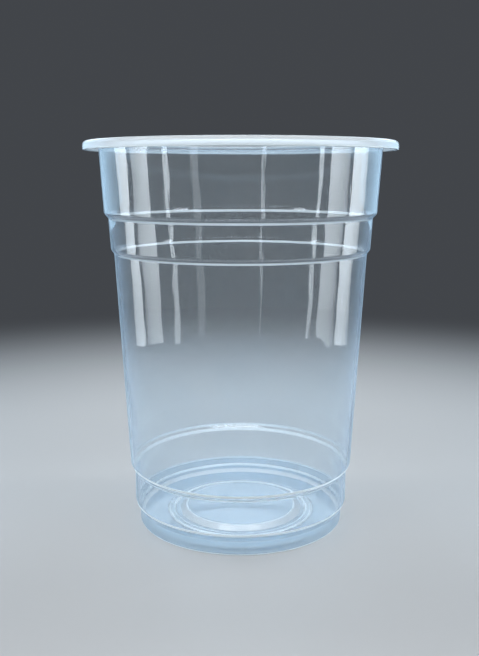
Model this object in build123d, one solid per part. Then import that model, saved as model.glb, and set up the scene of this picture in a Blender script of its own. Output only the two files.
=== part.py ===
from build123d import *
import os
from math import radians, tan

# A clear stepped drinking and snack cup, moulded in one piece.
# The axis of the cup is Z and the table it stands on is Z = 0.
# Lengths are in millimetres, angles in degrees.

# Overall
rim_diameter = 95.0        # across the outside of the lip
height = 119.4             # table to the top of the lip
wall = 0.5                 # plastic in the side wall

# Lip: a flat sealing land with a skirt turned down around it
lip_overhang = 4.6         # how far the lip stands out past the side wall
lip_height = 2.7           # top of the land to the lower edge of the skirt
lip_thickness = 0.8        # plastic in the land and the skirt
shoulder_bevel = 0.6       # outer edge of the land
mouth_bevel = 0.4          # inner edge of the land
neck_bevel = 0.8           # web in the corner between the wall and the underside of the land

# Collar and waist: the two bands under the lip
collar_height = 18.7       # lower edge of the skirt down to the upper step
waist_height = 9.5         # between the two steps
upper_draft = 3.4          # lean of both bands
step_rise = 1.25           # height of each step
upper_step = 1.2           # how far the wall moves in at the upper step
lower_step = 0.95          # how far the wall moves in at the lower step

# Body: the long tapered wall
body_draft = 3.0           # lean of the body

# Base: a straight band and a foot, each set in by a sloping ledge
foot_height = 4.4          # table to the lower ledge
foot_ledge_rise = 2.3      # height of the lower ledge
band_height = 10.8         # straight band between the two ledges
band_ledge_rise = 1.45     # height of the upper ledge
band_ledge = 1.3           # how far the wall moves in at the upper ledge
foot_ledge = 1.4           # how far the wall moves in at the lower ledge
foot_thickness = 1.2       # plastic in the ring that touches the table
foot_bevel = 0.3           # both edges of that ring

# Floor: set up above the table, with a ring rib and a raised disc
floor_height = 1.9         # table to the top of the floor
floor_thickness = 0.8      # plastic in the floor
corner_bevel = 0.7         # web in the inside corner between floor and wall
disc_radius = 17.6         # flat top of the raised disc
disc_rise = 1.2            # how far the disc stands above the floor
disc_slope = 2.2           # width of the sloping side of the disc
rib_gap = 1.2              # flat of the floor between the disc and the rib
rib_width = 2.8            # the rib, side to side
rib_rise = 0.35            # how far the rib stands above the floor
rib_side = 0.6             # width of each sloping side of the rib


def mitre(before, corner, after, gap):
    """Where a line kept gap mm to the left of two sides turns their corner."""
    first = (corner - before).normalized()
    second = (after - corner).normalized()
    inward = Vector(-first.Y - second.Y, first.X + second.X)
    return corner + inward * (gap / (1 + first.dot(second)))


# Heights of the corners of the outside, from the lip down to the table
skirt_z = height - lip_height
collar_z = skirt_z - collar_height
waist_top_z = collar_z - step_rise
waist_z = waist_top_z - waist_height
body_top_z = waist_z - step_rise
foot_ledge_z = foot_height + foot_ledge_rise
band_top_z = foot_ledge_z + band_height
body_z = band_top_z + band_ledge_rise

# Radii of the same corners, from the lip inwards
rim_r = rim_diameter / 2
upper_slope = tan(radians(upper_draft))
body_slope = tan(radians(body_draft))
neck_r = rim_r - lip_overhang
neck_z = height - lip_thickness
collar_r = neck_r - (neck_z - collar_z) * upper_slope
waist_top_r = collar_r - upper_step
waist_r = waist_top_r - waist_height * upper_slope
body_top_r = waist_r - lower_step
body_r = body_top_r - (body_top_z - body_z) * body_slope
band_r = body_r - band_ledge
foot_r = band_r - foot_ledge

# Outside of the wall, from the table up to the underside of the land
outside = [
    Vector(foot_r, 0),
    Vector(foot_r, foot_height),
    Vector(band_r, foot_ledge_z),
    Vector(band_r, band_top_z),
    Vector(body_r, body_z),
    Vector(body_top_r, body_top_z),
    Vector(waist_r, waist_z),
    Vector(waist_top_r, waist_top_z),
    Vector(collar_r, collar_z),
    Vector(neck_r, neck_z),
]

# Lip, from the underside of the land around to the mouth
skirt_r = rim_r - lip_thickness
lip = [
    Vector(skirt_r, neck_z),
    Vector(skirt_r, skirt_z),
    Vector(rim_r, skirt_z),
    Vector(rim_r, height),
    Vector(neck_r + lip_thickness * upper_slope - wall, height),
]

# Inside of the wall, one wall thickness in, from the mouth down to the floor
corners = zip(outside, outside[1:], outside[2:])
inside = [mitre(a, b, c, wall) for a, b, c in corners]
inside.reverse()

# Top of the floor, from the wall in to the axis
slope_r = disc_radius + disc_slope
rib_in_r = slope_r + rib_gap
rib_out_r = rib_in_r + rib_width
rib_z = floor_height + rib_rise
disc_z = floor_height + disc_rise
floor = [
    Vector(foot_r - wall, floor_height),
    Vector(rib_out_r, floor_height),
    Vector(rib_out_r - rib_side, rib_z),
    Vector(rib_in_r + rib_side, rib_z),
    Vector(rib_in_r, floor_height),
    Vector(slope_r, floor_height),
    Vector(disc_radius, disc_z),
    Vector(0, disc_z),
]

# Underside of the floor, one floor thickness down, out to the foot
under_z = floor_height - floor_thickness
ring_r = foot_r - foot_thickness
under = [
    Vector(0, disc_z - floor_thickness),
    mitre(floor[5], floor[6], floor[7], floor_thickness),
    mitre(floor[4], floor[5], floor[6], floor_thickness),
    Vector(ring_r, under_z),
    Vector(ring_r, 0),
]

# The section of the cup on one side of the axis, with its corners bevelled
with BuildSketch() as section:
    with BuildLine():
        Polyline(*outside, *lip, *inside, *floor, *under, close=True)
    make_face()
    shoulder, mouth = lip[3:]
    bevels = [
        (shoulder, shoulder_bevel),
        (mouth, mouth_bevel),
        (outside[-1], neck_bevel),
        (floor[0], corner_bevel),
        (outside[0], foot_bevel),
        (under[-1], foot_bevel),
    ]
    for place, bevel in bevels:
        corner = section.vertices().sort_by_distance(place)[0]
        chamfer(corner, bevel)

# The cup: the section turned once around the axis
upright = Plane.XZ * section.sketch
cup = revolve(upright, Axis.Z, 360).solid()
cup.label = "cup"

os.makedirs("parts", exist_ok=True)
export_step(cup, "parts/cup.step")
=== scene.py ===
import math

import bpy
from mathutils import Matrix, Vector


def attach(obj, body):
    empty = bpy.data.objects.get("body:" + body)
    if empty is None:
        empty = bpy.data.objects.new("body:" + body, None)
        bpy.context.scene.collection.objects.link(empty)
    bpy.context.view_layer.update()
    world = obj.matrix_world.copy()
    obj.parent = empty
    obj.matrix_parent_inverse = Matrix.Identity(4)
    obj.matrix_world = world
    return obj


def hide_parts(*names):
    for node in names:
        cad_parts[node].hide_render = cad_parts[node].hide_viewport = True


bl_info = {
    "name": "Clear Popcorn Cup",
    "version": (1, 0, 0),
    "blender": (4, 5, 0),
    "location": "3D View > Sidebar > Cup",
    "description": "Models a clear moulded popcorn cup and the plain stage it stands on",
    "category": "Object",
}

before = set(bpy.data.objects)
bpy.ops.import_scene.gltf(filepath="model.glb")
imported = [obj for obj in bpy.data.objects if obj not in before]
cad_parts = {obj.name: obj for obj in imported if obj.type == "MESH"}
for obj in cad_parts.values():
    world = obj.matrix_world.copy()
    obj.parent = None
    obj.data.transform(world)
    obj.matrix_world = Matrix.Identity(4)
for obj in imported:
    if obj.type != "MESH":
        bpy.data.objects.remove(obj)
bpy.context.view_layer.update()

MM = 0.001
SMALL = 1e-6  # two points nearer than this are one, in metres

# A round that leaves as much of a square corner as a flat bevel does
ROUND_FOR_BEVEL = 1 / (2 - math.sqrt(2))
ROUND_STEPS = 5  # straight sides in each round of the section

# Where the plastic is milky, and where milky paint makes painted highlights
LAND_TILT = 0.3  # least upward part of the normal of a face on the land
SLOPE_TILT = (0.1, 0.95)  # the same for a sloping face of the floor, which gets a painted highlight, least and most
WEB_REACH = 2 * MM  # how far in from the wall the web around the floor can lie
WEB_DROP = 1 * MM  # how far below the lower ledge it ends
HIGHLIGHT_REACH = 1.1  # how far a painted highlight runs from its corner, in wall thicknesses
CHORD = 0.1 * MM  # more than a flat face cuts off the round of the skirt

# Relief of the wall, each as a multiple of the depth of its flow lines
STREAK_HEIGHT = 1.5
WAVE_HEIGHT = 20

# The lamps
LAMP_AIM = (0, 0, 60 * MM)  # the middle of the cup
LAMP_FOOT = 14 * MM  # lower edge of the standing lamps
WIDE_OPEN = math.pi  # a lamp with no grid
WINDOW_SPREAD = 0.9  # a lamp with a grid, in radians, so that the floor gets little of it


def length(name, description, millimetres):
    """A size that a user can set, given in millimetres and kept in metres."""
    return bpy.props.FloatProperty(
        name=name,
        description=description,
        default=millimetres * MM,
        min=0.0,
        unit="LENGTH",
        precision=5,
    )


def angle(name, description, degrees):
    """An angle that a user can set, given in degrees."""
    return bpy.props.FloatProperty(
        name=name,
        description=description,
        default=math.radians(degrees),
        unit="ROTATION",
        subtype="ANGLE",
    )


def colour(name, description, red, green, blue):
    """A colour that a user can set."""
    return bpy.props.FloatVectorProperty(
        name=name,
        description=description,
        default=(red, green, blue),
        min=0.0,
        max=1.0,
        subtype="COLOR",
    )


def share(name, description, default):
    """A plain number from nought to one that a user can set."""
    return bpy.props.FloatProperty(
        name=name,
        description=description,
        default=default,
        min=0.0,
        max=1.0,
        subtype="FACTOR",
    )


class CupSizes(bpy.types.PropertyGroup):
    """Sizes of the moulding, the same as those of its solid, and the rounds of its edges."""

    rim_diameter: length("Rim diameter", "Across the outside of the lip", 95.0)
    height: length("Height", "Table to the top of the lip", 119.4)
    wall: length("Wall", "Plastic in the side wall", 0.5)

    lip_overhang: length("Lip overhang", "How far the lip stands out past the wall", 4.6)
    lip_height: length("Lip height", "Top of the land to the lower edge of the skirt", 2.7)
    lip_thickness: length("Lip thickness", "Plastic in the land and the skirt", 0.8)
    mouth_bevel: length("Mouth bevel", "Inner edge of the land", 0.4)
    neck_bevel: length("Neck web", "Corner between the wall and the land", 0.8)

    collar_height: length("Collar height", "Edge of the skirt down to the upper step", 18.7)
    waist_height: length("Waist height", "Between the two steps", 9.5)
    upper_draft: angle("Upper draft", "Lean of the collar and the waist", 3.4)
    step_rise: length("Step rise", "Height of each step", 1.25)
    upper_step: length("Upper step", "How far the wall moves in at the upper step", 1.2)
    lower_step: length("Lower step", "How far the wall moves in at the lower step", 0.95)
    body_draft: angle("Body draft", "Lean of the body", 3.0)

    foot_height: length("Foot height", "Table to the lower ledge", 4.4)
    foot_ledge_rise: length("Foot ledge rise", "Height of the lower ledge", 2.3)
    band_height: length("Band height", "Straight band between the ledges", 10.8)
    band_ledge_rise: length("Band ledge rise", "Height of the upper ledge", 1.45)
    band_ledge: length("Band ledge", "How far the wall moves in at the upper ledge", 1.3)
    foot_ledge: length("Foot ledge", "How far the wall moves in at the lower ledge", 1.4)
    foot_thickness: length("Foot thickness", "Plastic in the ring on the table", 1.2)
    foot_bevel: length("Foot bevel", "Both edges of that ring", 0.3)

    floor_height: length("Floor height", "Table to the top of the floor", 1.9)
    floor_thickness: length("Floor thickness", "Plastic in the floor", 0.8)
    corner_bevel: length("Corner web", "Inside corner between floor and wall", 0.7)
    disc_radius: length("Disc radius", "Flat top of the raised disc", 17.6)
    disc_rise: length("Disc rise", "How far the disc stands above the floor", 1.2)
    disc_slope: length("Disc slope", "Width of the sloping side of the disc", 2.2)
    rib_gap: length("Rib gap", "Flat floor between the disc and the rib", 1.2)
    rib_width: length("Rib width", "The ring rib, side to side", 2.8)
    rib_rise: length("Rib rise", "How far the rib stands above the floor", 0.35)
    rib_side: length("Rib side", "Width of each sloping side of the rib", 0.6)

    edge_round: length("Edge round", "Soft edges of the steps and of the rings in the floor", 0.8)
    ledge_round: length("Ledge round", "Softer edges of the two ledges of the base", 1.0)
    shoulder_round: length("Shoulder round", "Outer edge of the land", 1.4)
    skirt_round: length("Skirt round", "Small edges of the skirt", 0.35)
    # Painted highlight: the milky lower edge inside the skirt is a bright line painted under the lip
    skirt_highlight: length("Skirt edge", "How far the milky lower edge runs up inside the skirt", 0.8)
    turns: bpy.props.IntProperty(
        name="Sides",
        description="Straight sides in one turn of the cup",
        default=240,
        min=24,
        max=360,
    )


class CupFinish(bpy.types.PropertyGroup):
    """Colours and finish of the plastic."""

    # Painted light: the blue in these tints stands in for the cool window light that the plastic
    # reflects; the plastic itself is colourless
    clear_tint: colour("Clear tint", "What the clear wall lets through", 0.915, 0.962, 0.996)
    deep_tint: colour("Deep tint", "The same where the wall is cloudier", 0.84, 0.915, 0.98)
    # On the slopes of the floor this tint is a painted highlight; on the lip it is the plastic's own
    # milkiness
    milky_tint: colour("Milky tint", "The plastic of the lip and of slopes", 0.89, 0.945, 0.985)
    # Painted highlight: the bright edges of steps, ledges, rings and skirt are milky paint
    highlight_edge_tint: colour("Edge tint", "The bright edges of steps and ledges", 0.87, 0.955, 1.0)
    # Partly painted light: the thick base is milky plastic, and is made whiter to stand in for light
    # gathered in it
    base_tint: colour("Base tint", "The thick plastic of the base", 0.63, 0.765, 0.87)
    bloom_tint: colour("Bloom tint", "The soft bloom on all the plastic", 0.56, 0.78, 1.0)
    clearness: share("Clearness", "Share of light that passes the wall unscattered", 0.96)
    skirt_clearness: share("Skirt clearness", "The same for the skirt of the lip", 0.45)
    land_clearness: share("Land clearness", "The same for the top of the lip", 0.25)
    # Partly painted light: the base and the foot are less clear than plain plastic, to brighten them;
    # the foot covers the shade of the gap under the floor
    base_clearness: share("Base clearness", "The same for the thick base", 0.75)
    foot_clearness: share("Foot clearness", "The same for the ring on the table", 0.62)
    # Painted highlight: the slopes of the floor are painted milky white
    slope_highlight_clearness: share("Slope clearness", "The same for the slopes of the floor", 0.35)
    # Painted highlight: the edges are nearly opaque so that they read as white lines
    highlight_edge_clearness: share("Edge clearness", "The same for steps, ledges and rings", 0.08)


class StageLook(bpy.types.PropertyGroup):
    """Floor, backdrop, light and camera."""

    floor_colour: colour("Floor", "The pale floor near the cup", 0.54, 0.542, 0.545)
    backdrop_colour: colour("Backdrop", "What is seen far behind the cup", 0.055, 0.06, 0.068)
    ambient_colour: colour("Ambient", "Light from all around", 0.1, 0.1, 0.105)
    lamp_tint: colour("Lamp tint", "The lamps above and before the cup", 1.0, 1.0, 1.0)
    window_tint: colour("Window tint", "The lamps beside and behind it", 0.84, 0.93, 1.0)
    sky_tint: colour("Sky tint", "The two wide lamps behind its sides", 0.5, 0.77, 1.0)
    floor_radius: length("Floor radius", "How far the floor reaches", 6000.0)
    floor_drop: length("Floor drop", "How far it lies below the foot of the cup", 0.05)
    # The fade is a painted pool of light around the cup
    fade_start: length("Fade start", "Where the floor starts to fade, from the axis", 90.0)
    fade_end: length("Fade end", "Where it is as dark as the backdrop", 420.0)
    camera_distance: length("Camera distance", "From the axis of the cup, along the floor", 256.8)
    camera_height: length("Camera height", "Above the floor", 110.2)
    camera_side: length("Camera side step", "How far the camera stands left of the axis", 0.335)
    camera_pitch: angle("Camera pitch", "How far the camera looks down", 10.7)
    camera_lens: bpy.props.FloatProperty(
        name="Lens", description="Focal length of the camera", default=45.18, min=1.0, unit="CAMERA"
    )


def mitre(before, corner, after, gap):
    """Where a line kept a gap to the left of two sides turns their corner."""
    first = (corner - before).normalized()
    second = (after - corner).normalized()
    inward = Vector((-first.y - second.y, first.x + second.x))
    return corner + inward * (gap / (1 + first.dot(second)))


def cup_section(s):
    """Corners of the section, from the middle of the floor over the lip to the underside.

    Each is a place (radius, height), the radius that its corner is rounded to,
    and whether a painted highlight, in milky plastic, runs along the edge.
    """
    skirt_z = s.height - s.lip_height
    collar_z = skirt_z - s.collar_height
    waist_top_z = collar_z - s.step_rise
    waist_z = waist_top_z - s.waist_height
    body_top_z = waist_z - s.step_rise
    foot_ledge_z = s.foot_height + s.foot_ledge_rise
    band_top_z = foot_ledge_z + s.band_height
    body_z = band_top_z + s.band_ledge_rise

    rim_r = s.rim_diameter / 2
    upper_slope = math.tan(s.upper_draft)
    neck_r = rim_r - s.lip_overhang
    neck_z = s.height - s.lip_thickness
    collar_r = neck_r - (neck_z - collar_z) * upper_slope
    waist_top_r = collar_r - s.upper_step
    waist_r = waist_top_r - s.waist_height * upper_slope
    body_top_r = waist_r - s.lower_step
    body_r = body_top_r - (body_top_z - body_z) * math.tan(s.body_draft)
    band_r = body_r - s.band_ledge
    foot_r = band_r - s.foot_ledge
    skirt_r = rim_r - s.lip_thickness
    mouth_r = neck_r + s.lip_thickness * upper_slope - s.wall

    outside = [
        Vector((foot_r, 0)),
        Vector((foot_r, s.foot_height)),
        Vector((band_r, foot_ledge_z)),
        Vector((band_r, band_top_z)),
        Vector((body_r, body_z)),
        Vector((body_top_r, body_top_z)),
        Vector((waist_r, waist_z)),
        Vector((waist_top_r, waist_top_z)),
        Vector((collar_r, collar_z)),
        Vector((neck_r, neck_z)),
    ]
    neighbours = zip(outside, outside[1:], outside[2:])
    inside = [mitre(before, corner, after, s.wall) for before, corner, after in neighbours]

    slope_r = s.disc_radius + s.disc_slope
    rib_in_r = slope_r + s.rib_gap
    rib_out_r = rib_in_r + s.rib_width
    rib_z = s.floor_height + s.rib_rise
    disc_z = s.floor_height + s.disc_rise
    under_z = s.floor_height - s.floor_thickness
    ring_r = foot_r - s.foot_thickness
    disc_edge = Vector((s.disc_radius, disc_z))
    slope_foot = Vector((slope_r, s.floor_height))
    rib_in = Vector((rib_in_r, s.floor_height))
    axis_top = Vector((0, disc_z))

    mouth_round = s.mouth_bevel * ROUND_FOR_BEVEL
    neck_round = s.neck_bevel * ROUND_FOR_BEVEL
    corner_round = s.corner_bevel * ROUND_FOR_BEVEL
    foot_round = s.foot_bevel * ROUND_FOR_BEVEL

    section = [
        (axis_top, 0, False),
        (disc_edge, s.edge_round, True),
        (slope_foot, s.edge_round, False),
        (rib_in, s.edge_round, False),
        (Vector((rib_in_r + s.rib_side, rib_z)), s.edge_round, True),
        (Vector((rib_out_r - s.rib_side, rib_z)), s.edge_round, True),
        (Vector((rib_out_r, s.floor_height)), s.edge_round, False),
        (Vector((foot_r - s.wall, s.floor_height)), corner_round, False),
    ]
    # Each step or ledge bends twice, and the wall is as thick in a bend as beside it.
    # Its lower bend stands out into the cup, and gets a painted highlight along its edge, in milky
    # plastic.
    bends = [s.ledge_round, s.ledge_round, s.edge_round, s.edge_round]
    for lower, upper, bend in zip(inside[::2], inside[1::2], bends):
        section += [(lower, bend + s.wall, True), (upper, bend, False)]
    section += [
        (Vector((mouth_r, s.height)), mouth_round, False),
        (Vector((rim_r, s.height)), s.shoulder_round, False),
        (Vector((rim_r, skirt_z)), s.skirt_round, True),
        (Vector((skirt_r, skirt_z)), s.skirt_round, True),
        (Vector((skirt_r, skirt_z + s.skirt_highlight)), 0, False),
        (Vector((skirt_r, neck_z)), s.skirt_round, False),
        (outside[-1], neck_round, False),
    ]
    # The outer upper bends of the two ledges and the lower edge of the foot get a painted highlight
    # too
    for upper, lower, bend in zip(outside[8:0:-2], outside[7:0:-2], reversed(bends)):
        section += [(upper, bend + s.wall, bend == s.ledge_round), (lower, bend, False)]
    section += [
        (outside[0], foot_round, True),
        (Vector((ring_r, 0)), foot_round, False),
        (Vector((ring_r, under_z)), s.skirt_round, False),
        (mitre(rib_in, slope_foot, disc_edge, s.floor_thickness), s.edge_round, False),
        (mitre(slope_foot, disc_edge, axis_top, s.floor_thickness), s.edge_round, False),
        (Vector((0, disc_z - s.floor_thickness)), 0, False),
    ]
    return section


def start_piece(name):
    """A single loose point at the origin, in edit mode, ready to be drawn out."""
    bpy.ops.object.select_all(action="DESELECT")
    bpy.ops.mesh.primitive_plane_add(size=1.0, location=(0, 0, 0))
    piece = bpy.context.active_object
    piece.name = name
    piece.data.name = name
    bpy.ops.object.mode_set(mode="EDIT")
    bpy.ops.mesh.select_mode(type="VERT")
    bpy.ops.mesh.select_all(action="SELECT")
    bpy.ops.mesh.merge(type="CENTER")
    return piece


def draw_line(points):
    """Draws the selected point out through the given (x, z) points."""
    bpy.ops.transform.translate(value=(points[0].x, 0, points[0].y))
    for start, end in zip(points, points[1:]):
        step = end - start
        move = {"value": (step.x, 0, step.y)}
        bpy.ops.mesh.extrude_region_move(TRANSFORM_OT_translate=move)


def select_points(piece, test):
    """Selects just the vertices that pass a test of their place."""
    bpy.ops.mesh.select_all(action="DESELECT")
    bpy.ops.object.mode_set(mode="OBJECT")
    picked = 0
    for vertex in piece.data.vertices:
        vertex.select = test(vertex.co)
        picked += vertex.select
    bpy.ops.object.mode_set(mode="EDIT")
    return picked


def round_corner(piece, corner, start):
    """Rounds one corner of a drawn line, from a given distance along each side."""
    place = Vector((corner.x, 0, corner.y))
    if select_points(piece, lambda co: (co - place).length < SMALL) != 1:
        raise RuntimeError(f"no corner of the section lies at {corner}")
    bpy.ops.mesh.bevel(
        offset=start,
        offset_type="OFFSET",
        affect="VERTICES",
        segments=ROUND_STEPS,
        profile=0.5,
    )


def turn_section(sides):
    """Turns the drawn line once around the Z axis into a closed skin."""
    bpy.ops.mesh.select_all(action="SELECT")
    bpy.ops.mesh.spin(steps=sides, angle=math.tau, center=(0, 0, 0), axis=(0, 0, 1))
    bpy.ops.mesh.select_all(action="SELECT")
    bpy.ops.mesh.remove_doubles(threshold=SMALL)
    bpy.ops.mesh.normals_make_consistent(inside=False)


def paint(piece, test):
    """Gives the newest material of a piece to the faces that pass a test."""
    bpy.ops.mesh.select_mode(type="FACE")
    bpy.ops.mesh.select_all(action="DESELECT")
    bpy.ops.object.mode_set(mode="OBJECT")
    for face in piece.data.polygons:
        face.select = test(face)
    bpy.ops.object.mode_set(mode="EDIT")
    piece.active_material_index = len(piece.data.materials) - 1
    bpy.ops.object.material_slot_assign()


def new_material(name):
    """A material with its Principled shader, and a maker of more nodes."""
    material = bpy.data.materials.new(name)
    material.use_nodes = True
    tree = material.node_tree

    def node(kind, **settings):
        made = tree.nodes.new(kind)
        for key, value in settings.items():
            setattr(made, key, value)
        return made

    return material, tree.nodes["Principled BSDF"], node, tree.links.new


def plastic(name, tints, clearness, roughness, flow_depth, bloom, bloom_tint, glow):
    """Moulded plastic: faint cloud in its tint and gloss, and flow lines up the wall.

    The tints and the roughness run from the clearest to the cloudiest places, the
    bloom is a soft sheen, and the glow is light that spreads inside the plastic.
    """
    material, shader, node, link = new_material(name)
    shader.inputs["IOR"].default_value = 1.49
    shader.inputs["Transmission Weight"].default_value = clearness
    shader.inputs["Sheen Weight"].default_value = bloom
    shader.inputs["Sheen Roughness"].default_value = 0.3
    shader.inputs["Sheen Tint"].default_value = (*bloom_tint, 1)
    shader.inputs["Subsurface Weight"].default_value = glow
    shader.inputs["Subsurface Radius"].default_value = (1.0, 1.0, 1.0)
    shader.inputs["Subsurface Scale"].default_value = 0.6 * MM
    place = node("ShaderNodeTexCoord").outputs["Object"]

    cloud = node("ShaderNodeTexNoise")
    cloud.inputs["Scale"].default_value = 55.0
    cloud.inputs["Detail"].default_value = 3.0
    link(place, cloud.inputs["Vector"])
    tint = node("ShaderNodeMix", data_type="RGBA")
    tint.inputs["A"].default_value = (*tints[0], 1)
    tint.inputs["B"].default_value = (*tints[1], 1)
    link(cloud.outputs["Fac"], tint.inputs["Factor"])
    link(tint.outputs["Result"], shader.inputs["Base Color"])

    gloss = node("ShaderNodeMapRange")
    gloss.inputs["To Min"].default_value = roughness[0]
    gloss.inputs["To Max"].default_value = roughness[1]
    link(cloud.outputs["Fac"], gloss.inputs["Value"])
    link(gloss.outputs["Result"], shader.inputs["Roughness"])

    stretch = node("ShaderNodeMapping")
    stretch.inputs["Scale"].default_value = (1, 1, 0.05)  # draws the lines out up the wall
    link(place, stretch.inputs["Vector"])
    flow = node("ShaderNodeTexNoise")
    flow.inputs["Scale"].default_value = 450.0
    flow.inputs["Detail"].default_value = 3.0
    link(stretch.outputs["Vector"], flow.inputs["Vector"])
    streaks = node("ShaderNodeBump")
    streaks.inputs["Strength"].default_value = 1.0
    streaks.inputs["Distance"].default_value = flow_depth * STREAK_HEIGHT
    link(flow.outputs["Fac"], streaks.inputs["Height"])
    sway = node("ShaderNodeTexNoise")
    sway.inputs["Scale"].default_value = 45.0
    sway.inputs["Detail"].default_value = 1.0
    link(place, sway.inputs["Vector"])
    waves = node("ShaderNodeBump")
    waves.inputs["Strength"].default_value = 1.0
    waves.inputs["Distance"].default_value = flow_depth * WAVE_HEIGHT
    link(sway.outputs["Fac"], waves.inputs["Height"])
    link(streaks.outputs["Normal"], waves.inputs["Normal"])
    link(waves.outputs["Normal"], shader.inputs["Normal"])
    return material


def milky_and_painted_zones(section, s):
    """Tests of whether a face of the cup lies in each zone of milky plastic. The slopes and edges are
    painted highlights, and the base and foot are partly painted light.
    """
    rim_r = s.rim_diameter / 2
    skirt_r = rim_r - s.lip_thickness
    skirt_z = s.height - s.lip_height
    neck_z = s.height - s.lip_thickness
    foot_ledge_z = s.foot_height + s.foot_ledge_rise
    foot_r = max(corner.x for corner, radius, milky in section if corner.y < SMALL)
    painted_highlight_corners = [corner for corner, radius, milky in section if milky]

    def out(face):
        return face.center.to_2d().length

    def on_skirt(face):
        return face.center.z > skirt_z and out(face) > skirt_r - CHORD

    def on_land(face):
        return face.center.z > neck_z and face.normal.z > LAND_TILT

    # Partly painted light: the base and the foot are milky plastic, made brighter than the light alone
    # would make them
    def on_base(face):
        return face.center.z < foot_ledge_z

    def on_foot(face):
        in_ring = out(face) > foot_r - s.foot_thickness - SMALL
        return in_ring and face.center.z < s.foot_height

    # Painted highlight: the sloping side of the disc and the web round the floor are painted milky
    # white
    def on_slope_highlight(face):
        least, most = SLOPE_TILT
        slopes_up = least < face.normal.z < most and face.center.z < s.foot_height - WEB_DROP
        beside_disc = s.disc_radius < out(face) < s.disc_radius + s.disc_slope
        beside_wall = out(face) > foot_r - s.wall - WEB_REACH
        return slopes_up and (beside_disc or beside_wall)

    # Painted highlight: faces near the flagged corners, and low inside the skirt, are painted milky
    # white
    def on_painted_highlight_edge(face):
        place = Vector((out(face), face.center.z))
        in_skirt = abs(place.x - skirt_r) < CHORD and skirt_z < place.y < skirt_z + s.skirt_highlight
        reach = s.wall * HIGHLIGHT_REACH
        return in_skirt or any((place - corner).length < reach for corner in painted_highlight_corners)

    return on_skirt, on_land, on_base, on_foot, on_slope_highlight, on_painted_highlight_edge


class CUP_OT_moulding(bpy.types.Operator):
    """Model the cup as one turned skin of clear plastic"""

    bl_idname = "cup.moulding"
    bl_label = "Cup moulding"

    def execute(self, context):
        sizes = context.scene.cup_sizes
        section = cup_section(sizes)
        corners = [corner for corner, radius, milky in section]

        piece = start_piece("cup_moulding")
        draw_line(corners)
        for before, (corner, radius, milky), after in zip(corners, section[1:], corners[2:]):
            if radius:
                turn = (corner - before).angle(after - corner)
                round_corner(piece, corner, radius * math.tan(turn / 2))
        turn_section(sizes.turns)
        self.make_plastic(piece, milky_and_painted_zones(section, sizes), context.scene.cup_finish)
        bpy.ops.object.mode_set(mode="OBJECT")

        bpy.ops.object.shade_smooth()
        bpy.ops.object.modifier_add(type="WEIGHTED_NORMAL")
        bpy.ops.object.modifier_apply(modifier=piece.modifiers[0].name)

        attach(piece, "root")
        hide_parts("cup")
        return {"FINISHED"}

    def make_plastic(self, piece, zones, look):
        """Makes the whole cup clear, then each of its zones milky in turn; the slopes and edges are
        painted highlights, and the base and foot are partly painted light.
        """
        clear = look.clear_tint, look.deep_tint
        milky = look.milky_tint, look.milky_tint
        base = look.base_tint, look.base_tint
        # Tints of the painted highlight edges
        edge = look.highlight_edge_tint, look.highlight_edge_tint
        on_skirt, on_land, on_base, on_foot, on_slope_highlight, on_painted_highlight_edge = zones
        # Name, tints, clearness, roughness, depth of flow lines, bloom, glow, faces
        for name, tints, clearness, roughness, flow_depth, bloom, glow, zone in (
            ("clear_wall", clear, look.clearness, (0.01, 0.05), 0.02 * MM, 1.0, 1.0, None),
            ("milky_skirt", milky, look.skirt_clearness, (0.08, 0.15), 0.003 * MM, 0.4, 0.0, on_skirt),
            ("milky_land", milky, look.land_clearness, (0.12, 0.25), 0.003 * MM, 0.4, 0.0, on_land),
            # Partly painted light: milky base and foot, whitened to stand in for light gathered in the
            # base
            ("milky_base_painted_light", base, look.base_clearness, (0.03, 0.08), 0.01 * MM, 0.4, 1.0, on_base),
            ("milky_foot_painted_light", base, look.foot_clearness, (0.03, 0.08), 0.01 * MM, 0.4, 1.0, on_foot),
            # Painted highlight: the white ring of the disc slope and the web round the floor
            ("slope_painted_highlight", milky, look.slope_highlight_clearness, (0.05, 0.1), 0.005 * MM, 0.4, 0.0, on_slope_highlight),
            # Painted highlight: white lines on steps, ledges, rings, skirt and foot
            ("painted_highlight_edge", edge, look.highlight_edge_clearness, (0.05, 0.1), 0.005 * MM, 0.4, 0.0, on_painted_highlight_edge),
        ):
            made = plastic(
                name, tints, clearness, roughness, flow_depth, bloom, look.bloom_tint, glow
            )
            piece.data.materials.append(made)
            if zone:
                paint(piece, zone)


def add_softbox(name, place, width, tall, brightness, tint, aim=LAMP_AIM, spread=WIDE_OPEN):
    """A soft lamp with a rectangular face, turned towards a point.

    Its brightness is that of its face seen straight on, where 1 is white, and
    its spread is the angle that its grid lets out.
    """
    bpy.ops.object.light_add(type="AREA", location=place)
    lamp = bpy.context.active_object
    lamp.name = name
    lamp.rotation_euler = (Vector(aim) - Vector(place)).to_track_quat("-Z", "Y").to_euler()
    lamp.data.shape = "RECTANGLE"
    lamp.data.size = width
    lamp.data.size_y = tall
    lamp.data.spread = spread
    grid = 1 - spread / 2 / math.tan(spread / 2)
    lamp.data.energy = brightness * math.pi * width * tall * grid
    lamp.data.color = tint
    lamp.visible_camera = False
    return lamp


def stand_softbox(name, turn, reach, width, tall, brightness, tint, spread=WIDE_OPEN):
    """A soft lamp that stands near the floor and faces the axis of the cup.

    The turn is in degrees, from straight behind the cup towards its right. The lamp
    is left out of what is seen through the plastic, where it would be a white block.
    """
    turn = math.radians(turn)
    middle = LAMP_FOOT + tall / 2
    place = (reach * math.sin(turn), reach * math.cos(turn), middle)
    aim = (0, 0, middle)
    lamp = add_softbox(name, place, width, tall, brightness, tint, aim, spread)
    lamp.visible_transmission = False


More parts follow.
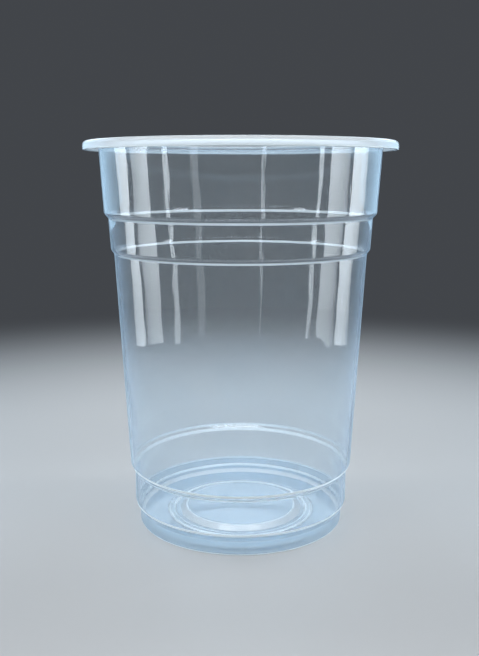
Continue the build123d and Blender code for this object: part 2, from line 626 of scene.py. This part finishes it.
class CUP_OT_stage(bpy.types.Operator):
    """Lay the pale floor and set the backdrop, the soft light and the camera"""

    bl_idname = "cup.stage"
    bl_label = "Stage"

    def execute(self, context):
        look = context.scene.cup_stage
        self.floor(look)
        self.world(context.scene, look)
        self.lamps(look)
        self.camera(context.scene, look)
        context.scene.view_settings.view_transform = "Standard"
        return {"FINISHED"}

    def floor(self, look):
        """A pale floor with a painted pool of light: with the distance from the cup it fades into a
        self-lit sheet of the backdrop colour.
        """
        bpy.ops.object.select_all(action="DESELECT")
        bpy.ops.mesh.primitive_circle_add(
            vertices=96,
            radius=look.floor_radius,
            fill_type="NGON",
            location=(0, 0, -look.floor_drop),
        )
        floor = bpy.context.active_object
        floor.name = "floor"
        bpy.ops.object.transform_apply(location=True, rotation=True, scale=True)
        material, shader, node, link = new_material("pale_floor")
        shader.inputs["Base Color"].default_value = (*look.floor_colour, 1)
        shader.inputs["Roughness"].default_value = 0.5
        # Painted light: away from the cup the floor glows in the backdrop colour instead of being lit,
        # so a pool of light seems to lie around the cup
        far = node("ShaderNodeEmission")
        far.inputs["Color"].default_value = (*look.backdrop_colour, 1)
        place = node("ShaderNodeTexCoord").outputs["Object"]
        reach = node("ShaderNodeVectorMath", operation="LENGTH")
        link(place, reach.inputs[0])
        fade = node("ShaderNodeMapRange", interpolation_type="SMOOTHERSTEP")
        fade.inputs["From Min"].default_value = look.fade_start
        fade.inputs["From Max"].default_value = look.fade_end
        link(reach.outputs["Value"], fade.inputs["Value"])
        mix = node("ShaderNodeMixShader")
        link(fade.outputs["Result"], mix.inputs["Fac"])
        link(shader.outputs["BSDF"], mix.inputs[1])
        link(far.outputs["Emission"], mix.inputs[2])
        output = material.node_tree.nodes["Material Output"]
        link(mix.outputs["Shader"], output.inputs["Surface"])
        floor.data.materials.append(material)

    def world(self, scene, look):
        """The backdrop where it is seen, straight or in the plastic, and soft light elsewhere."""
        world = bpy.data.worlds.new("studio")
        scene.world = world
        world.use_nodes = True
        nodes, link = world.node_tree.nodes, world.node_tree.links.new
        ambient = nodes["Background"]
        ambient.inputs["Color"].default_value = (*look.ambient_colour, 1)
        backdrop = nodes.new("ShaderNodeBackground")
        backdrop.inputs["Color"].default_value = (*look.backdrop_colour, 1)
        path = nodes.new("ShaderNodeLightPath")
        straight_or_mirrored = nodes.new("ShaderNodeMath")
        straight_or_mirrored.operation = "MAXIMUM"
        link(path.outputs["Is Camera Ray"], straight_or_mirrored.inputs[0])
        link(path.outputs["Is Glossy Ray"], straight_or_mirrored.inputs[1])
        seen = nodes.new("ShaderNodeMath")
        seen.operation = "MAXIMUM"
        link(straight_or_mirrored.outputs[0], seen.inputs[0])
        link(path.outputs["Is Transmission Ray"], seen.inputs[1])
        mix = nodes.new("ShaderNodeMixShader")
        link(seen.outputs[0], mix.inputs["Fac"])
        link(ambient.outputs["Background"], mix.inputs[1])
        link(backdrop.outputs["Background"], mix.inputs[2])
        link(mix.outputs["Shader"], nodes["World Output"].inputs["Surface"])

    def lamps(self, look):
        """Soft lamps around the cup, with their places and sizes in metres."""
        plain = look.lamp_tint
        # Name, place, width, height, brightness, tint; all of them face the cup
        add_softbox("overhead_softbox", (0.0, 0.15, 0.85), 1.5, 0.07, 7.5, plain)
        add_softbox("high_softbox", (0.0, -0.34, 0.85), 1.5, 0.05, 6.0, plain)
        front = add_softbox("front_softbox", (0.0, -0.75, 0.55), 1.3, 0.2, 5.2, plain)
        back = add_softbox("back_softbox", (0.0, 0.85, 0.42), 1.0, 0.34, 2.0, look.window_tint)
        back.data.shape = "ELLIPSE"
        for fill in (front, back):
            fill.data.use_shadow = False  # the clear wall would stop all of its light

        # Name, turn, width, brightness of the lamps that the wall mirrors as windows
        for name, turn, width, brightness in (
            ("right_window", 80, 0.07, 12.0),
            ("right_pane", 103, 0.07, 12.0),
            ("right_strip", 122, 0.012, 14.0),
            ("right_glint", 164, 0.006, 8.0),
            ("left_window", -82, 0.05, 12.0),
            ("left_pane", -102, 0.065, 12.0),
            ("left_strip", -126, 0.015, 14.0),
            ("left_glint", -148, 0.02, 4.0),
        ):
            stand_softbox(
                name,
                turn,
                reach=0.2,
                width=width,
                tall=0.1,
                brightness=brightness,
                tint=look.window_tint,
                spread=WINDOW_SPREAD,
            )
        # Wide lamps that give the sides of the cup their blue edges
        for name, turn in (("right_back_softbox", 48), ("left_back_softbox", -48)):
            stand_softbox(
                name, turn, reach=0.9, width=0.75, tall=0.7, brightness=1.7, tint=look.sky_tint
            )

    def camera(self, scene, look):
        """A camera at the viewing angle of the photo."""
        bpy.ops.object.camera_add(
            location=(-look.camera_side, -look.camera_distance, look.camera_height),
            rotation=(math.pi / 2 - look.camera_pitch, 0, 0),
        )
        camera = bpy.context.active_object
        camera.name = "camera"
        camera.data.sensor_width = 36.0
        camera.data.lens = look.camera_lens
        camera.data.clip_start = 0.01
        camera.data.clip_end = 50.0
        scene.camera = camera


class CUP_PT_cup(bpy.types.Panel):
    """Lists the cup's operators and the sizes and colours that they read"""

    bl_idname = "CUP_PT_cup"
    bl_label = "Clear cup"
    bl_space_type = "VIEW_3D"
    bl_region_type = "UI"
    bl_category = "Cup"

    def draw(self, context):
        layout = self.layout
        layout.operator(CUP_OT_moulding.bl_idname)
        layout.operator(CUP_OT_stage.bl_idname)
        for group in (context.scene.cup_sizes, context.scene.cup_finish, context.scene.cup_stage):
            box = layout.box()
            for name in group.__annotations__:
                box.prop(group, name)


CLASSES = (CupSizes, CupFinish, StageLook, CUP_OT_moulding, CUP_OT_stage, CUP_PT_cup)


def register():
    for cls in CLASSES:
        bpy.utils.register_class(cls)
    bpy.types.Scene.cup_sizes = bpy.props.PointerProperty(type=CupSizes)
    bpy.types.Scene.cup_finish = bpy.props.PointerProperty(type=CupFinish)
    bpy.types.Scene.cup_stage = bpy.props.PointerProperty(type=StageLook)


def unregister():
    del bpy.types.Scene.cup_stage
    del bpy.types.Scene.cup_finish
    del bpy.types.Scene.cup_sizes
    for cls in reversed(CLASSES):
        bpy.utils.unregister_class(cls)


def main():
    register()
    bpy.ops.cup.moulding()
    bpy.ops.cup.stage()


if __name__ == "__main__":
    main()
